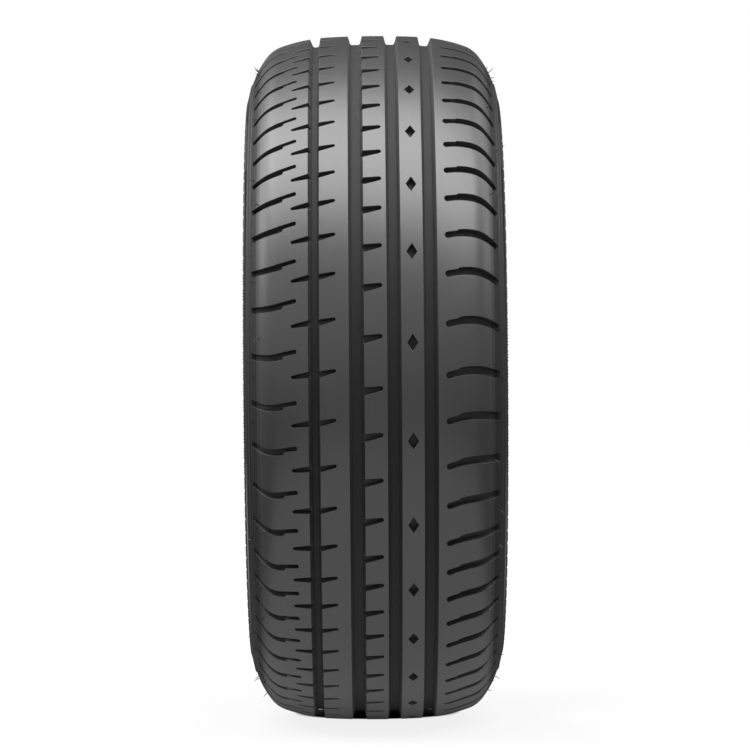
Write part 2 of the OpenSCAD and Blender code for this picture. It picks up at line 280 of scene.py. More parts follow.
def bead_section(guard, toe_a):
    """From the widest place over the rim guard and the bead's face and seat to its toe."""
    face_top = (FACE_A, SEAT_R + HEEL_R + FACE_H)
    wall = bow((WIDEST_A, WIDEST_R), guard + (0, GUARD_TIP_W), -GUARD_HOLLOW, 5)
    flange = bow(guard, face_top, -FLANGE_HOLLOW, 7)
    heel = arc((FACE_A - HEEL_R, SEAT_R + HEEL_R), HEEL_R, 0, -90, 5)
    land_end = np.array([FACE_A - HEEL_R - SEAT_LAND, SEAT_R])
    toe_drop = (land_end[0] - toe_a) * math.tan(math.radians(TOE_SLOPE))
    toe = arc((toe_a + TOE_R, SEAT_R - toe_drop + TOE_R), TOE_R, -90, -180, 4)
    return np.concatenate([wall[1:], flange, heel, [land_end], toe])


def liner_section(guard, toe_a):
    """The inside from the bead's toe back up to the middle of the crown."""
    bead_top = (guard[0] - BEAD_T - WALL_T, guard[1] - BEAD_TOP_DROP)
    widest = (WIDEST_A - WALL_T, WIDEST_R + LINER_RISE)
    edge_a = CROWN_HALF_W - CROWN_T
    edge = np.array([edge_a, crown(edge_a) - CROWN_T])
    middle = np.array([0, TREAD_R - CROWN_T])
    foot = bow((toe_a, SEAT_R + BEAD_FOOT_H), bead_top, BEAD_FOOT_BULGE, 3)
    lower = bow(bead_top, widest, -LINER_HOLLOW, 4)
    upper = leave(edge, 2 * heading_of(edge - middle), widest, 7)[::-1]
    top = leave(middle, 0, edge, 4)[::-1]
    return np.concatenate([foot, lower[1:], upper[1:], top[1:]])


def lower_section():
    """Everything below the widest place: the bead, then the inside back up."""
    guard = np.array([WIDEST_A - GUARD_INSET, SEAT_R + GUARD_H])
    toe_a = FACE_A - BEAD_W
    return np.concatenate([bead_section(guard, toe_a), liner_section(guard, toe_a)])


SURFACE = outer_section()
BELOW = lower_section()
WALL = np.concatenate([SURFACE[SURFACE[:, 0] > CROWN_HALF_W], BELOW[:5]])


def surface_r(a):
    return np.interp(np.abs(a), SURFACE[:, 0], SURFACE[:, 1])


def surface_normal(a):
    """Outward normal of the untouched surface, as axial and radial parts."""
    step = 0.4
    slope = (surface_r(np.abs(a) + step) - surface_r(np.abs(a) - step)) / (2 * step)
    length = np.sqrt(1 + slope * slope)
    return -slope * np.sign(a) / length, 1 / length


def out_slot():
    tip, low_end, step = np.array(OUT_TIP), np.array(OUT_LOW_END), np.array(OUT_STEP)
    tip_end = math.radians(OUT_TIP_SPAN[1])
    low_start = tip + OUT_TIP_R * np.array([math.cos(tip_end), math.sin(tip_end)])
    low = bow(low_start, low_end, OUT_LOW_SAG, 18)
    top = bow(low_end + (0, OUT_END_W), step + OUT_STEP_RUN, OUT_TOP_SAG, 15)
    return clip_end(np.concatenate([arc(tip, OUT_TIP_R, *OUT_TIP_SPAN, 8), low[1:], top, [step]]), 1)


def in_slot():
    top_end, step = np.array(IN_TOP_END), np.array(IN_STEP)
    top = bow(IN_TOP_START, top_end, IN_TOP_SAG, 10)
    low = bow(top_end - (0, IN_END_W), step - IN_STEP_RUN, IN_LOW_SAG, 12)
    return clip_end(np.concatenate([arc(IN_TIP, IN_TIP_R, *IN_TIP_SPAN, 8), top, low, [step]]), -1)


def clip_end(outline, side):
    """Ends a shoulder slot where it has run out of the surface."""
    out = []
    for p, q in zip(outline, np.roll(outline, -1, 0)):
        past_p, past_q = side * p[0] - SLOT_CUT_A, side * q[0] - SLOT_CUT_A
        if past_p <= 0:
            out.append(p)
        if past_p * past_q < 0:
            out.append(p + (q - p) * (side * SLOT_CUT_A - p[0]) / (q[0] - p[0]))
    return finer_end(np.array(out), side)


def finer_end(outline, side, from_a=98, longest=1.3):
    """Cuts the long edges near the shoulder end of a slot, where the surface bends most."""
    out = []
    for p, q in zip(outline, np.roll(outline, -1, 0)):
        out.append(p)
        if max(side * p[0], side * q[0]) > from_a:
            pieces = math.ceil(np.linalg.norm(q - p) / longest)
            out += [p + (q - p) * i / pieces for i in range(1, pieces)]
    return np.array(out)


def notch_1():
    mid, width = GROOVES[0]
    low, high = mid - width / 2, mid + width / 2
    in_tip = (low - NOTCH_1_RUNS[0] + NOTCH_1_TIP_R, NOTCH_1_TIP_WAYS[0])
    out_tip = (high + NOTCH_1_RUNS[1] - NOTCH_1_TIP_R, NOTCH_1_TIP_WAYS[1])
    return np.concatenate([
        arc(in_tip, NOTCH_1_TIP_R, *NOTCH_1_TIP_SPANS[0], 7),
        [[low, NOTCH_1_LOW_WAYS[0]], [high, NOTCH_1_LOW_WAYS[1]]],
        arc(out_tip, NOTCH_1_TIP_R, *NOTCH_1_TIP_SPANS[1], 7),
        [[high, NOTCH_1_TOP_WAYS[1]], [low, NOTCH_1_TOP_WAYS[0]]],
    ])


def notch_2():
    mid, width = GROOVES[1]
    mouth = mid + width / 2
    low, high = NOTCH_2_WAYS
    return np.concatenate([
        [[mid, high], [mid, low], [mouth, low]],
        arc((mouth + NOTCH_2_RUN, NOTCH_2_TIP_WAY), NOTCH_2_TIP_R, *NOTCH_2_TIP_SPAN, 8),
    ])


def diamond():
    (a3, w3), (a4, w4) = GROOVES[2:]
    mid = (a3 + w3 / 2 + a4 - w4 / 2) / 2
    corners = np.array([[-DIAMOND_W / 2, 0], [0, -DIAMOND_L / 2], [DIAMOND_W / 2, 0], [0, DIAMOND_L / 2]])
    between = (corners + np.roll(corners, -1, 0)) / 2
    return np.stack([corners, between], 1).reshape(-1, 2) + (mid, 0)


def pitch_angles():
    lengths = np.array([PITCH_MM[c] for c in PITCH_ORDER for _ in range(2)])
    before = np.concatenate([[0], np.cumsum(lengths)])
    return PITCH_START - 360 * before / before[-1]


def slot_outlines():
    """Every slot's outline, as axial place and absolute way round the tyre."""
    starts = pitch_angles()
    middles = (starts[:-1] + starts[1:]) / 2
    found = []
    for k in range(len(starts) - 1):
        found.append((out_slot(), starts[k]))
        found.append((in_slot(), starts[k] - IN_LAG))
        found.append((notch_1(), middles[k] - NOTCH_1_LAG))
        found.append((notch_2(), starts[k] - NOTCH_2_LAG))
        if k % 2:
            found.append((diamond(), starts[k] - DIAMOND_LAG))
    placed = []
    for outline, angle in found:
        way = (angle % 360) / 360 * ROUND
        for turn in (-ROUND, 0, ROUND):
            if -SLOT_REACH < way + turn < ROUND + SLOT_REACH:
                placed.append(outline + (0, way + turn))
    return placed


def inside_distance(points, outline):
    """Distance to an outline, positive inside it."""
    p = outline
    q = np.roll(outline, -1, 0)
    d = q - p
    rel = points[:, None, :] - p[None]
    t = np.clip((rel * d).sum(2) / (d * d).sum(1), 0, 1)
    gap = np.sqrt(np.square(rel - t[..., None] * d).sum(2)).min(1)
    above = (p[None, :, 1] > points[:, None, 1]) != (q[None, :, 1] > points[:, None, 1])
    rise = np.where(d[:, 1] == 0, 1e-9, d[:, 1])
    cut = p[None, :, 0] + (points[:, None, 1] - p[None, :, 1]) * d[None, :, 0] / rise[None]
    odd = (above & (points[:, None, 0] < cut)).sum(1) % 2 == 1
    return np.where(odd, gap, -gap)


def share_at(d, knots):
    """Share of the full depth at a distance inside the edge."""
    return np.interp(d, [k[0] for k in knots], [k[1] for k in knots])


def slot_share(a):
    """How much of the slot depth is left where the shoulder slots run out."""
    t = np.clip((np.abs(a) - SLOT_FADE_A) / (SLOT_END_A - SLOT_FADE_A), 0, 1)
    return 1 - SLOT_FADE * t ** 4


def depth_at(points, outlines):
    """Depth of the tread surface, the distance to the nearest slot, and where the surface is level."""
    a = points[:, 0]
    full = 0.999
    depth = np.zeros(len(points))
    level = np.zeros(len(points), bool)
    near = np.full(len(points), -99.0)
    for mid, width in GROOVES:
        own = share_at(width / 2 - np.abs(a - mid), GROOVE_KNOTS) * GROOVE_DEPTH
        level |= own > GROOVE_DEPTH * full
        depth = np.maximum(depth, own)
    order = np.argsort(points[:, 1])
    way = points[order, 1]
    for outline in outlines:
        lo, hi = outline.min(0) - SLOT_NEAR, outline.max(0) + SLOT_NEAR
        picked = order[np.searchsorted(way, lo[1]):np.searchsorted(way, hi[1])]
        picked = picked[(a[picked] > lo[0]) & (a[picked] < hi[0])]
        if not len(picked):
            continue
        d = inside_distance(points[picked], outline)
        share = share_at(d, SLOT_KNOTS)
        own = share * SLOT_DEPTH * slot_share(a[picked])
        wins = own > depth[picked]
        depth[picked] = np.where(wins, own, depth[picked])
        level[picked] = np.where(wins, share > full, level[picked])
        near[picked] = np.maximum(near[picked], d)
    return depth, near, level | (depth < 1e-4)


def offset(outline, d, least=0.35):
    """The outline moved inwards by d, corner by corner, with sharp corners held back."""
    before = np.roll(outline, 1, 0)
    after = np.roll(outline, -1, 0)
    e0 = outline - before
    e1 = after - outline
    n0 = np.stack([-e0[:, 1], e0[:, 0]], 1) / np.linalg.norm(e0, axis=1)[:, None]
    n1 = np.stack([-e1[:, 1], e1[:, 0]], 1) / np.linalg.norm(e1, axis=1)[:, None]
    n = n0 + n1
    n = n / np.maximum(np.square(n).sum(1) / 2, least)[:, None]
    area = (outline[:, 0] * after[:, 1] - outline[:, 1] * after[:, 0]).sum()
    return outline + n * d * math.copysign(1, area)


def groove_lines():
    """Axial places of the lines along the walls of the grooves."""
    lines = []
    for mid, width in GROOVES:
        for d, _ in GROOVE_KNOTS:
            lines += [mid - width / 2 + d, mid + width / 2 - d]
    return lines


def band_lines():
    """Axial places of all the lines that the mesh follows round the tyre."""
    return groove_lines() + [line for a, _ in SHEEN_BANDS[1:] for line in (-a, a)]


def tread_rows():
    """Axial places of the rows of plain points on the ribs."""
    out = GROOVE_KNOTS[0][0]
    edges = [-STRIP_A]
    for mid, width in GROOVES:
        edges += [mid - width / 2 + out, mid + width / 2 - out]
    edges.append(STRIP_A)
    rows = [-STRIP_A, STRIP_A] + groove_lines()
    for low, high in zip(edges[::2], edges[1::2]):
        a = low
        while a < high:
            rows.append(a)
            a += CLOSE_ROW_STEP if abs(a) > CLOSE_ROWS_A else ROW_STEP
    rows.sort()
    kept = [rows[0]]
    for a in rows[1:]:
        if a - kept[-1] > ROW_GAP:
            kept.append(a)
    return np.array(kept)


def key(a, s):
    """A point's key, the same at both ends of the way round."""
    s = round(s, 3)
    if s >= round(ROUND, 3):
        s = 0.0
    return (round(a, 3), s)


class Points:
    """Numbered points with no two in one place."""

    def __init__(self):
        self.index = {}
        self.list = []

    def add(self, a, s):
        k = (round(a, 4), round(s, 4))
        if k not in self.index:
            self.index[k] = len(self.list)
            self.list.append((float(a), float(s)))
        return self.index[k]


def clip_way(p, q, low, high):
    """The part of an edge between two ways round the tyre."""
    if q[1] < p[1]:
        cut = clip_way(q, p, low, high)
        return None if cut is None else (cut[1], cut[0])
    if q[1] <= low or p[1] >= high:
        return None
    a, b = tuple(p), tuple(q)
    if p[1] < low:
        a = (p[0] + (q[0] - p[0]) * (low - p[1]) / (q[1] - p[1]), low)
    if q[1] > high:
        b = (p[0] + (q[0] - p[0]) * (high - p[1]) / (q[1] - p[1]), high)
    return a, b


def ring_edges(pool, rings, low, high):
    """Adds the rings' points between two ways to the pool, and lists their edges."""
    edges = set()
    for ring in rings:
        if ring[:, 1].max() < low or ring[:, 1].min() > high:
            continue
        for p, q in zip(ring, np.roll(ring, -1, 0)):
            cut = clip_way(p, q, low, high)
            if cut is not None:
                i, j = pool.add(*cut[0]), pool.add(*cut[1])
                if i != j:
                    edges.add((i, j))
    return edges


def sector_mesh(number, rings, outlines, rows, lines):
    """Triangles of one sector of the tread, as corners in axial place and way."""
    per = COLUMNS // SECTORS
    columns = [COLUMN_STEP * (number * per + i) for i in range(per + 1)]
    low, high = columns[0], columns[-1]
    pool = Points()
    edges = set()
    grid = np.array([(a, s) for a in rows for s in columns])
    _, near, _ = depth_at(grid, outlines)
    for (a, s), d in zip(grid, near):
        if d < -SLOT_CLEAR or s in (low, high) or abs(a) == STRIP_A:
            pool.add(a, s)
    for a in lines:
        chain = [pool.add(a, s) for s in columns]
        edges.update(zip(chain, chain[1:]))
    edges |= ring_edges(pool, rings, low, high)
    verts = [Vector((a, s - low)) for a, s in pool.list]
    out = delaunay_2d_cdt(verts, sorted(edges), [], 0, 1e-5, True)
    corners = [pool.list[came[0]] if came else (v[0], v[1] + low) for v, came in zip(out[0], out[3])]
    return corners, out[2]


def turns_left(p, q, r):
    return (q[0] - p[0]) * (r[1] - p[1]) > (q[1] - p[1]) * (r[0] - p[0])


def tread_mesh(outlines):
    """Points of the tread as axial place and way, their numbers by key, and the triangles."""
    rings = [offset(f, d) for f in outlines for d, _ in SLOT_KNOTS]
    rows = tread_rows()
    lines = band_lines()
    index, flat, faces = {}, [], []
    for sector in range(SECTORS):
        corners, triangles = sector_mesh(sector, rings, outlines, rows, lines)
        for triangle in triangles:
            face = []
            for a, s in (corners[i] for i in triangle):
                k = key(a, s)
                if k not in index:
                    index[k] = len(flat)
                    flat.append((a, 0.0 if k[1] == 0.0 else s))
                face.append(index[k])
            if len(set(face)) == 3:
                faces.append(face if turns_left(*(corners[i] for i in triangle)) else face[::-1])
    return np.array(flat), index, faces


def around(point, t):
    """A point or direction of the half section, turned round the axle by angles in radians."""
    a, r = point
    return np.stack([r * np.cos(t), np.broadcast_to(a, t.shape), r * np.sin(t)], 1)


def shaped(a, s, depth):
    """Places in space of tread points with their depths."""
    n_a, n_r = surface_normal(a)
    return around((a - depth * n_a, surface_r(a) - depth * n_r), s / TREAD_R)


def tread_places(a, s, outlines):
    """Places in space of tread points, as deep as the tread is there."""
    depth, _, _ = depth_at(np.stack([a, s], 1), outlines)
    return shaped(a, s, depth)


def tread_normals(a, s, outlines, level):
    """Normals of the true tread surface, flat on the ribs and on the floors."""
    eps = 0.06
    along_a = tread_places(a + eps, s, outlines) - tread_places(a - eps, s, outlines)
    along_s = tread_places(a, s + eps, outlines) - tread_places(a, s - eps, outlines)
    n = np.cross(along_s, along_a)
    flat = around(surface_normal(a), s / TREAD_R)
    n *= np.sign((n * flat).sum(1))[:, None]
    n = n / np.maximum(np.linalg.norm(n, axis=1), 1e-9)[:, None]
    return np.where(level[:, None], flat, n)


def wall_point(points, r, out):
    """Point at a radius and at a height out of the sidewall."""
    return [np.interp(-r, -points[:, 1], points[:, 0]) + out, r]


def put_in(points, feature, gap=0.3):
    """Puts a raised or sunk feature into the points of the sidewall, from above to below."""
    above = points[points[:, 1] > feature[0, 1] + gap]
    below = points[points[:, 1] < feature[-1, 1] - gap]
    return np.concatenate([above, feature, below])


def ring_section(points, r, ease=0.5):
    """Puts a raised ring into the points of the upper sidewall."""
    top, foot = RING_W / 2, RING_W / 2 + RING_H / 2
    upper = ((foot + ease, 0), (foot, 0.1), (top, 0.9), (top - ease, 1))
    profile = upper + tuple((-up, share) for up, share in upper[::-1])
    return put_in(points, np.array([wall_point(points, r + up, share * RING_H) for up, share in profile]))


def edge_line_section(points):
    """Puts the fine groove below the tread edge into those points."""
    r = np.interp(EDGE_LINE_A, points[:, 0], points[:, 1])
    half = EDGE_LINE_W / 2
    profile = ((1.25, 0), (1, 0), (0.5, 1), (-0.5, 1), (-1, 0), (-1.25, 0))
    line = [wall_point(points, r + up * half, -share * EDGE_LINE_DEPTH) for up, share in profile]
    return put_in(points, np.array(line))


def rounded(points, sharp=18, size=0.6, room=2.2):
    """Rounds the sharp corners of a section, where they have room for it."""
    out = [points[0]]
    for before, p, after in zip(points, points[1:], points[2:]):
        back, ahead = before - p, after - p
        shorter = min(np.linalg.norm(back), np.linalg.norm(ahead))
        turn = 180 - abs((heading_of(ahead) - heading_of(back) + 180) % 360 - 180)
        if turn > sharp and shorter > room * size:
            q = p + size * back / np.linalg.norm(back)
            s = p + size * ahead / np.linalg.norm(ahead)
            out += [q, (q + 2 * p + s) / 4, s]
        else:
            out.append(p)
    out.append(points[-1])
    return np.array(out)


def body_section():
    """Half section from the edge of the tread strip, by the bead, to the middle of the liner."""
    wall = SURFACE[SURFACE[:, 0] > STRIP_A + 0.1][::5]
    wall = edge_line_section(np.concatenate([[[STRIP_A, surface_r(STRIP_A)]], wall]))
    for h in RING_HEIGHTS:
        wall = ring_section(wall, SEAT_R + h)
    return rounded(np.concatenate([wall, BELOW]))


def section_normals(points):
    """Outward normals of a section, smooth but kept at its long flats."""
    d = np.diff(points, axis=0)
    length = np.linalg.norm(d, axis=1)
    n = np.stack([-d[:, 1], d[:, 0]], 1) / length[:, None]
    weight = np.concatenate([[0], length, [0]])
    full = np.concatenate([n[:1], n, n[-1:]])
    mean = full[:-1] * weight[:-1, None] + full[1:] * weight[1:, None]
    return mean / np.linalg.norm(mean, axis=1)[:, None]


def casing_mesh(index, first):
    """The casing from one edge of the tread to the other: its own points, normals and all its faces."""
    half = body_section()
    section = np.concatenate([half, (half[::-1] * (-1, 1))[1:]])
    normals = section_normals(section)
    ways = [COLUMN_STEP * i for i in range(COLUMNS)]
    t = np.array(ways) / TREAD_R
    inner = len(section) - 2
    grid = [[index[key(STRIP_A, s)] for s in ways]]
    grid += [[first + k * COLUMNS + i for i in range(COLUMNS)] for k in range(inner)]
    grid.append([index[key(-STRIP_A, s)] for s in ways])
    faces = []
    for upper, lower in zip(grid, grid[1:]):
        for i in range(COLUMNS):
            j = (i + 1) % COLUMNS
            faces.append([upper[j], upper[i], lower[i], lower[j]])
    verts = np.concatenate([around(p, t) for p in section[1:-1]])
    return verts, np.concatenate([around(n, t) for n in normals[1:-1]]), faces


def shoulder_shade_and_dullness(a):
    """How dull the rubber is, and how dark its painted shade, where the tread passes into the sidewall."""
    return WALL_SHADE_AND_DULL * np.clip((np.abs(a) - SHADE_AND_DULL_FROM_A) / (STRIP_A - SHADE_AND_DULL_FROM_A), 0, 1)


def sheen_bands(verts, faces, depth):
    """Which band of sheen each face has: by its place, its depth, or as part of the casing."""
    axial = np.array([np.mean([abs(verts[i][1]) for i in f]) for f in faces])
    band = np.searchsorted([a for a, _ in SHEEN_BANDS[1:]], axial)
    deep = [len(f) == 3 and min(depth[f]) > GROOVE_BAND_FROM * GROOVE_DEPTH for f in faces]
    band = np.where(deep, GROOVE_BAND, band)
    band[np.array([len(f) for f in faces]) == 4] = len(SHEEN_BANDS) - 1
    return band


def tyre_mesh():
    """The body's points, faces and normals, how sunk each point is, which sets its painted shade and
    dullness, and each face's band of sheen.
    """
    outlines = slot_outlines()
    flat, index, faces = tread_mesh(outlines)
    a, s = flat[:, 0], flat[:, 1]
    depth, _, level = depth_at(flat, outlines)
    casing, casing_normals, casing_faces = casing_mesh(index, len(flat))
    faces += casing_faces
    verts = np.concatenate([shaped(a, s, depth), casing])
    normals = np.concatenate([tread_normals(a, s, outlines, level), casing_normals])
    # Painted shade: the colour darkens with the depth of the tread and toward the sidewalls, where the
    # rubber is also rougher
    shade_and_dull = np.maximum(np.minimum(1, SHADE_AND_DULL_GAIN * depth / GROOVE_DEPTH), shoulder_shade_and_dullness(a))
    sunk = np.concatenate([shade_and_dull, np.full(len(casing), WALL_SHADE_AND_DULL)])
    return verts * MM, faces, normals, sunk, sheen_bands(verts, faces, depth)


def swept(rings):
    """Points and faces of a closed form drawn through rings of points, capped at both ends."""
    count = len(rings[0])
    verts = [p for ring in rings for p in ring]
    faces = []
    for k in range(len(rings) - 1):
        for i in range(count):
            j = (i + 1) % count
            low, high = k * count, (k + 1) * count
            faces.append([low + i, low + j, high + j, high + i])
    last = (len(rings) - 1) * count
    faces.append(list(range(count))[::-1])
    faces.append([last + i for i in range(count)])
    return verts, faces


def joined(forms):
    """Several closed forms as one list of points and faces."""
    verts, faces = [], []
    for points, own in forms:
        start = len(verts)
        verts += list(points)
        faces += [[start + i for i in f] for f in own]
    return np.array(verts), faces


def on_tyre(a, r, angle):
    """Point of the tyre at an axial place, a radius and an angle in degrees."""
    t = math.radians(angle)
    return np.array([r * math.cos(t), a, r * math.sin(t)])


def on_side(ring, side):
    """A ring of points for the outboard side at 1, or mirrored for the inboard side at -1."""
    return [p * (1, side, 1) for p in ring][::side]


def wall_place(r, out):
    """Axial place of the sidewall at a radius, with a height above it."""
    return float(np.interp(-r, -WALL[:, 1], WALL[:, 0])) + out


def serration(side, low, high, height, width, ribs, gap, groups):
    """Fine radial ribs in groups all round a sidewall, between two radii."""
    forms = []
    radii = np.linspace(low, high, 4)
    heights = (0.0, height, height, 0.0)
    half = math.degrees(width / 2 / high)
    step = 360 / (groups * (ribs + gap))
    for k in range(groups * (ribs + gap)):
        if k % (ribs + gap) >= ribs:
            continue
        angle = k * step
        rings = []
        for r, h in zip(radii, heights):
            foot = wall_place(r, -SERRATION_SINK)
            top = wall_place(r, h)
            ring = [on_tyre(foot, r, angle - half), on_tyre(top, r, angle), on_tyre(foot, r, angle + half)]
            rings.append(on_side(ring, side))
        forms.append(swept(rings))
    return joined(forms)


def hair_ring(middle, normal, angle, radius):
    """Points round the middle of a hair."""
    n_a, n_r = normal
    ring = []
    for i in range(HAIR_SIDES):
        u = 2 * math.pi * i / HAIR_SIDES
        across = radius * math.cos(u)
        along = math.degrees(radius * math.sin(u) / middle[1])
        ring.append(on_tyre(middle[0] + across * n_r, middle[1] - across * n_a, angle + along))
    return ring


def vent_hairs(side, seed):
    """Thin rubber hairs left by the vents of the mould, along one shoulder."""
    draw = random.Random(seed)
    forms = []
    for k in range(HAIR_COUNT):
        angle = 360 * (k + draw.uniform(-HAIR_STRAY, HAIR_STRAY)) / HAIR_COUNT
        a = HAIR_A + draw.choice(HAIR_ROWS) + draw.uniform(-HAIR_STRAY_A, HAIR_STRAY_A)
        length = draw.uniform(*HAIR_LENGTHS)
        n_a, n_r = (float(v) for v in surface_normal(np.array(a)))
        start = np.array([a, float(surface_r(a))])
        lean = draw.uniform(-HAIR_LEAN, HAIR_LEAN)
        rise = draw.uniform(-HAIR_RISE, HAIR_RISE)
        rings = []
        for share in HAIR_SHARES:
            bend = share * abs(share) * length
            middle = start + share * length * np.array([n_a, n_r]) + bend * rise * np.array([n_r, -n_a])
            turned = angle + math.degrees(bend * lean / TREAD_R)
            radius = HAIR_R * (1 - HAIR_TAPER * max(0, share))
            rings.append(on_side(hair_ring(middle, (n_a, n_r), turned, radius), side))
        forms.append(swept(rings))
    return joined(forms)


# Rubber: its darkest and lightest shade, how blue they are and where they are reached in
# the clouds, and its lowest and highest roughness
SHADES = (0.019, 0.024)
SHADE_BLUE = 1.03
SHADE_STOPS = (0.3, 0.7)
ROUGHNESS = (0.38, 0.44)
# Cloudiness and fine grain: scale and detail of their noise, and the grain's strength and depth
CLOUD_NOISE = (9, 6)
GRAIN_NOISE = (1400, 3)
GRAIN_STRENGTH = 0.35
GRAIN_DEPTH = 0.0002
# At the bottom of the grooves it is rougher than on the smooth ribs, and darker by a painted shade, which
# also darkens the shoulders and sidewalls
SUNK_PAINTED_SHADE = (0.008, 0.008, 0.0083, 1)
SUNK_ROUGHER = 0.35


def math_node(tree, operation, first, second):
    node = tree.nodes.new("ShaderNodeMath")
    node.operation = operation
    for socket, value in zip(node.inputs, (first, second)):
        if isinstance(value, (int, float)):
            socket.default_value = value
        else:
            tree.links.new(value, socket)
    return node.outputs[0]


def noise(tree, scale, detail):
    """Noise fixed to the object."""
    place = tree.nodes.new("ShaderNodeTexCoord")
    node = tree.nodes.new("ShaderNodeTexNoise")
    node.inputs["Scale"].default_value = scale
    node.inputs["Detail"].default_value = detail
    tree.links.new(place.outputs["Object"], node.inputs["Vector"])
    return node.outputs["Fac"]


def rubber_shade(tree, cloud, sunk):
    """Cloudy black on the ribs that passes into the darker colour of the groove floors, a painted shade,
    which also darkens the sidewalls.
    """
    ramp = tree.nodes.new("ShaderNodeValToRGB")
    for element, stop, shade in zip(ramp.color_ramp.elements, SHADE_STOPS, SHADES):
        element.position = stop
        element.color = (shade, shade, shade * SHADE_BLUE, 1)
    darker = tree.nodes.new("ShaderNodeMix")
    darker.data_type = "RGBA"
    darker.inputs[7].default_value = SUNK_PAINTED_SHADE
    tree.links.new(cloud, ramp.inputs["Fac"])
    tree.links.new(sunk, darker.inputs[0])
    tree.links.new(ramp.outputs["Color"], darker.inputs[6])
    return darker.outputs[2]


def rubber_roughness(tree, cloud, sunk):
    """Cloudy roughness, rougher on the groove floors."""
    rough = tree.nodes.new("ShaderNodeMapRange")
    rough.inputs["To Min"].default_value, rough.inputs["To Max"].default_value = ROUGHNESS
    tree.links.new(cloud, rough.inputs["Value"])
    duller = math_node(tree, "MULTIPLY", sunk, SUNK_ROUGHER)
    return math_node(tree, "ADD", duller, rough.outputs["Result"])


def rubber_grain(tree):
    """Fine grain of the moulded surface."""
    bump = tree.nodes.new("ShaderNodeBump")
    bump.inputs["Strength"].default_value = GRAIN_STRENGTH
    bump.inputs["Distance"].default_value = GRAIN_DEPTH
    tree.links.new(noise(tree, *GRAIN_NOISE), bump.inputs["Height"])
    return bump.outputs["Normal"]


def rubber(name, sheen):
    """Black moulded rubber: fine grain, faint cloudiness and a soft sheen, with a painted shade in the
    grooves and on the sidewalls.
    """
    mat = bpy.data.materials.new(name)
    mat.use_nodes = True
    tree = mat.node_tree
    shader = tree.nodes["Principled BSDF"]
    shader.inputs["Specular IOR Level"].default_value = sheen
    attribute = tree.nodes.new("ShaderNodeAttribute")
    attribute.attribute_name = "sunk"
    sunk = attribute.outputs["Fac"]
    cloud = noise(tree, *CLOUD_NOISE)
    tree.links.new(rubber_shade(tree, cloud, sunk), shader.inputs["Base Color"])
    tree.links.new(rubber_roughness(tree, cloud, sunk), shader.inputs["Roughness"])
    tree.links.new(rubber_grain(tree), shader.inputs["Normal"])
    return mat


def add_piece(name, verts, faces, normals, material):
    mesh = bpy.data.meshes.new(name)
    mesh.from_pydata([tuple(v) for v in verts], [], faces)
    mesh.update()
    piece = bpy.data.objects.new(name, mesh)
    bpy.context.collection.objects.link(piece)
    mesh.materials.append(material)
    mesh.shade_smooth()
    if normals is not None:
        mesh.normals_split_custom_set_from_vertices([tuple(n) for n in normals])
    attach(piece, "root")
    return piece


def add_body():
    """The moulded body, with one kind of rubber for each band of sheen."""
    verts, faces, normals, sunk, band = tyre_mesh()
    kinds = [rubber(f"tyre_rubber_{i}", sheen) for i, (_, sheen) in enumerate(SHEEN_BANDS)]
    body = add_piece("tyre_body", verts, faces, normals, kinds[0])
    for kind in kinds[1:]:
        body.data.materials.append(kind)
    body.data.polygons.foreach_set("material_index", band.astype(np.int32))
    body.data.attributes.new("sunk", "FLOAT", "POINT").data.foreach_set("value", sunk)
    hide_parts("tyre")
    return body


def add_plain(name, form, body):
    """A small closed piece of the sidewalls' rubber, in flat facets."""
    verts, faces = form
    piece = add_piece(name, verts * MM, faces, None, body.data.materials[-1])
    piece.data.shade_flat()


# Camera, from the photograph, in metres and degrees: far off, level with the axle
CAMERA_PLACE = (3.738, -0.0109, 0.0005)
CAMERA_TURN = (-0.17, 0.03, -0.42)
LENS_MM = 192.7
SENSOR_MM = 36


def add_camera():
    cam = bpy.data.cameras.new("camera")
    cam.sensor_width = SENSOR_MM
    cam.lens = LENS_MM
    obj = bpy.data.objects.new("camera", cam)
    bpy.context.collection.objects.link(obj)
    yaw, pitch, roll = (math.radians(v) for v in CAMERA_TURN)
    turn = Matrix.Rotation(yaw, 3, "Z") @ Matrix.Rotation(pitch, 3, "Y") @ Matrix.Rotation(roll, 3, "X")
    back, right, up = (turn.col[i] for i in range(3))
    frame_axes = Matrix((right, up, back)).transposed().to_4x4()
    obj.matrix_world = Matrix.Translation(CAMERA_PLACE) @ frame_axes
    bpy.context.scene.camera = obj


# Lamps: place, aim, size and power. One wide soft lamp above, and a smaller one at each side
LAMPS = (
    ("key", (0.6, -0.1, 2.3), (0.2, 0, 0.25), (5.0, 2.0), 170),
    ("left", (-0.7, -2.0, 1.5), (0.2, 0, 0.15), (1.9, 1.8), 34),
    ("right", (-0.7, 2.0, 1.5), (0.2, 0, 0.15), (1.9, 1.8), 20),
)


def add_lamp(name, place, target, size, power):
    lamp = bpy.data.lights.new(name, "AREA")
    lamp.shape = "RECTANGLE"
    lamp.size, lamp.size_y = size
    lamp.energy = power
    obj = bpy.data.objects.new(name, lamp)
    bpy.context.collection.objects.link(obj)
    obj.location = place
    obj.rotation_euler = (Vector(target) - Vector(place)).to_track_quat("-Z", "Y").to_euler()


# Floor in metres: its half size, how far it lies below the tyre, and its colour
FLOOR_HALF = 12
FLOOR_GAP = 0.0005
FLOOR_COLOUR = (0.1, 0.1, 0.1, 1)
# How bright it is for the camera, and from which distance to which that changes
FLOOR_GLOW = (0.85, 1.0)
FLOOR_GLOW_REACH = (0.5, 1.6)
# Painted glow: how bright it is as the rubber mirrors it, which is a patch in front of the tyre that glows
# only in the rubber's reflections
FLOOR_MIRROR_GLOW = (0.65, 0.0)
FLOOR_MIRROR_REACH = (0.5, 0.85)
FLOOR_MIRROR_SCALE = (1, 1.5, 0)
FLOOR_MIRROR_SHIFT = (-0.65, 0, 0)
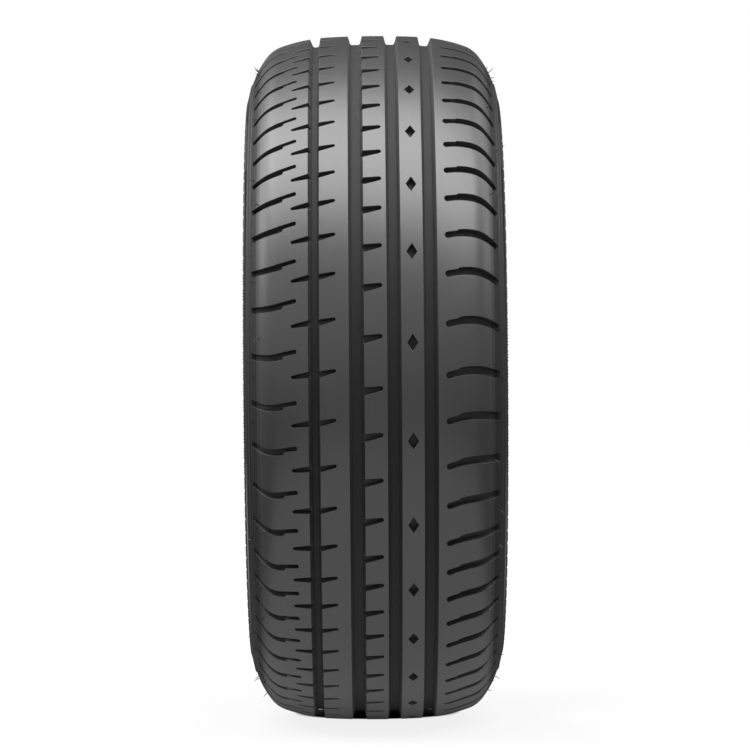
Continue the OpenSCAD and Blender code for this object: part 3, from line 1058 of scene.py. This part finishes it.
# Painted shadow, a round shade under the tyre that darkens the floor's glow for the camera and the painted
# glow in the rubber's
# reflections: how far behind the contact its middle lies, how far it reaches in the picture and as the
# rubber mirrors it, and from which distance to which from the contact it fades out
CONTACT_SHIFT = (0.07, 0, 0)
CONTACT_REACH = (0.07, 0.079)
CONTACT_MIRROR_REACH = (0.085, 0.184)
CONTACT_FADE = (0.115, 0.16)


def by_distance(tree, reach, values=(0.0, 1.0), shift=(0, 0, 0), scale=(1, 1, 0)):
    """A value that changes with the distance on the floor from a shifted and stretched origin."""
    place = tree.nodes.new("ShaderNodeTexCoord")
    moved = tree.nodes.new("ShaderNodeVectorMath")
    moved.operation = "MULTIPLY_ADD"
    moved.inputs[1].default_value = scale
    moved.inputs[2].default_value = shift
    far = tree.nodes.new("ShaderNodeVectorMath")
    far.operation = "LENGTH"
    value = tree.nodes.new("ShaderNodeMapRange")
    value.inputs["From Min"].default_value, value.inputs["From Max"].default_value = reach
    value.inputs["To Min"].default_value, value.inputs["To Max"].default_value = values
    tree.links.new(place.outputs["Object"], moved.inputs[0])
    tree.links.new(moved.outputs["Vector"], far.inputs[0])
    tree.links.new(far.outputs["Value"], value.inputs["Value"])
    return value.outputs["Result"]


def floor_material():
    """Pale for the camera, and pale in the rubber's sheen by a painted glow, with a painted shadow under
    the tyre.
    """
    mat = bpy.data.materials.new("floor")
    mat.use_nodes = True
    tree = mat.node_tree
    shader = tree.nodes["Principled BSDF"]
    shader.inputs["Base Color"].default_value = FLOOR_COLOUR
    shader.inputs["Roughness"].default_value = 1
    shader.inputs["Specular IOR Level"].default_value = 0
    shader.inputs["Emission Color"].default_value = (1, 1, 1, 1)
    rays = tree.nodes.new("ShaderNodeLightPath")
    # Painted shadow under the tyre, taken out of the floor's glow for the camera
    shade = by_distance(tree, CONTACT_REACH, shift=CONTACT_SHIFT)
    shade = math_node(tree, "MAXIMUM", shade, by_distance(tree, CONTACT_FADE))
    glow = math_node(tree, "MULTIPLY", by_distance(tree, FLOOR_GLOW_REACH, FLOOR_GLOW), shade)
    seen = math_node(tree, "MULTIPLY", rays.outputs["Is Camera Ray"], glow)
    # Painted glow of a patch in front, seen only in reflections, with a painted shadow near the contact
    painted_mirror_shade = by_distance(tree, CONTACT_MIRROR_REACH, shift=CONTACT_SHIFT)
    mirror = by_distance(tree, FLOOR_MIRROR_REACH, FLOOR_MIRROR_GLOW, FLOOR_MIRROR_SHIFT, FLOOR_MIRROR_SCALE)
    mirror = math_node(tree, "MULTIPLY", mirror, painted_mirror_shade)
    painted_mirror_glow = math_node(tree, "MULTIPLY", rays.outputs["Is Glossy Ray"], mirror)
    tree.links.new(math_node(tree, "ADD", seen, painted_mirror_glow), shader.inputs["Emission Strength"])
    return mat


def add_stage():
    """A wide floor just below the tyre."""
    z = cad_box[0][2] - FLOOR_GAP
    corners = [(x * FLOOR_HALF, y * FLOOR_HALF, z) for x, y in ((-1, -1), (1, -1), (1, 1), (-1, 1))]
    mesh = bpy.data.meshes.new("floor")
    mesh.from_pydata(corners, [], [(0, 1, 2, 3)])
    mesh.materials.append(floor_material())
    floor = bpy.data.objects.new("floor", mesh)
    bpy.context.collection.objects.link(floor)


# Light of the sky: from all round, from the front with its direction, and from both sides
SKY_ALL = 0.02
SKY_FRONT = 0.95
SKY_FRONT_AXIS = (0.9, -0.2, -0.38)
SKY_FRONT_POWER = 2.0
SKY_SIDE = 0.22
SKY_SIDE_AXIS = (0, 1, 0)


def towards(tree, axis):
    """How much of a direction in the sky lies along an axis."""
    place = tree.nodes.new("ShaderNodeTexCoord")
    facing = tree.nodes.new("ShaderNodeVectorMath")
    facing.operation = "DOT_PRODUCT"
    facing.inputs[1].default_value = axis
    tree.links.new(place.outputs["Generated"], facing.inputs[0])
    return facing.outputs["Value"]


def add_world():
    """Even light, brighter from the front and the sides, and plain white where the camera sees it."""
    world = bpy.data.worlds.new("world")
    world.use_nodes = True
    bpy.context.scene.world = world
    tree = world.node_tree
    back = tree.nodes["Background"]
    front = math_node(tree, "MULTIPLY", towards(tree, SKY_FRONT_AXIS), 0.5)
    front = math_node(tree, "ADD", front, 0.5)
    front = math_node(tree, "POWER", front, SKY_FRONT_POWER)
    front = math_node(tree, "MULTIPLY", front, SKY_FRONT)
    across = towards(tree, SKY_SIDE_AXIS)
    side = math_node(tree, "MULTIPLY", across, across)
    side = math_node(tree, "MULTIPLY", side, SKY_SIDE)
    light = math_node(tree, "ADD", math_node(tree, "ADD", front, side), SKY_ALL)
    rays = tree.nodes.new("ShaderNodeLightPath")
    seen = math_node(tree, "MAXIMUM", light, rays.outputs["Is Camera Ray"])
    tree.links.new(seen, back.inputs["Strength"])
    back.inputs["Color"].default_value = (1, 1, 1, 1)


def main():
    bpy.context.scene.view_settings.view_transform = "Standard"
    body = add_body()
    for name, side in (("outboard", 1), ("inboard", -1)):
        for band, *sizes in SERRATION_BANDS:
            add_plain(f"serration_{band}_{name}", serration(side, *sizes), body)
        add_plain(f"vent_hairs_{name}", vent_hairs(side, HAIR_SEED + side), body)
    add_camera()
    add_stage()
    add_world()
    for lamp in LAMPS:
        add_lamp(*lamp)


main()
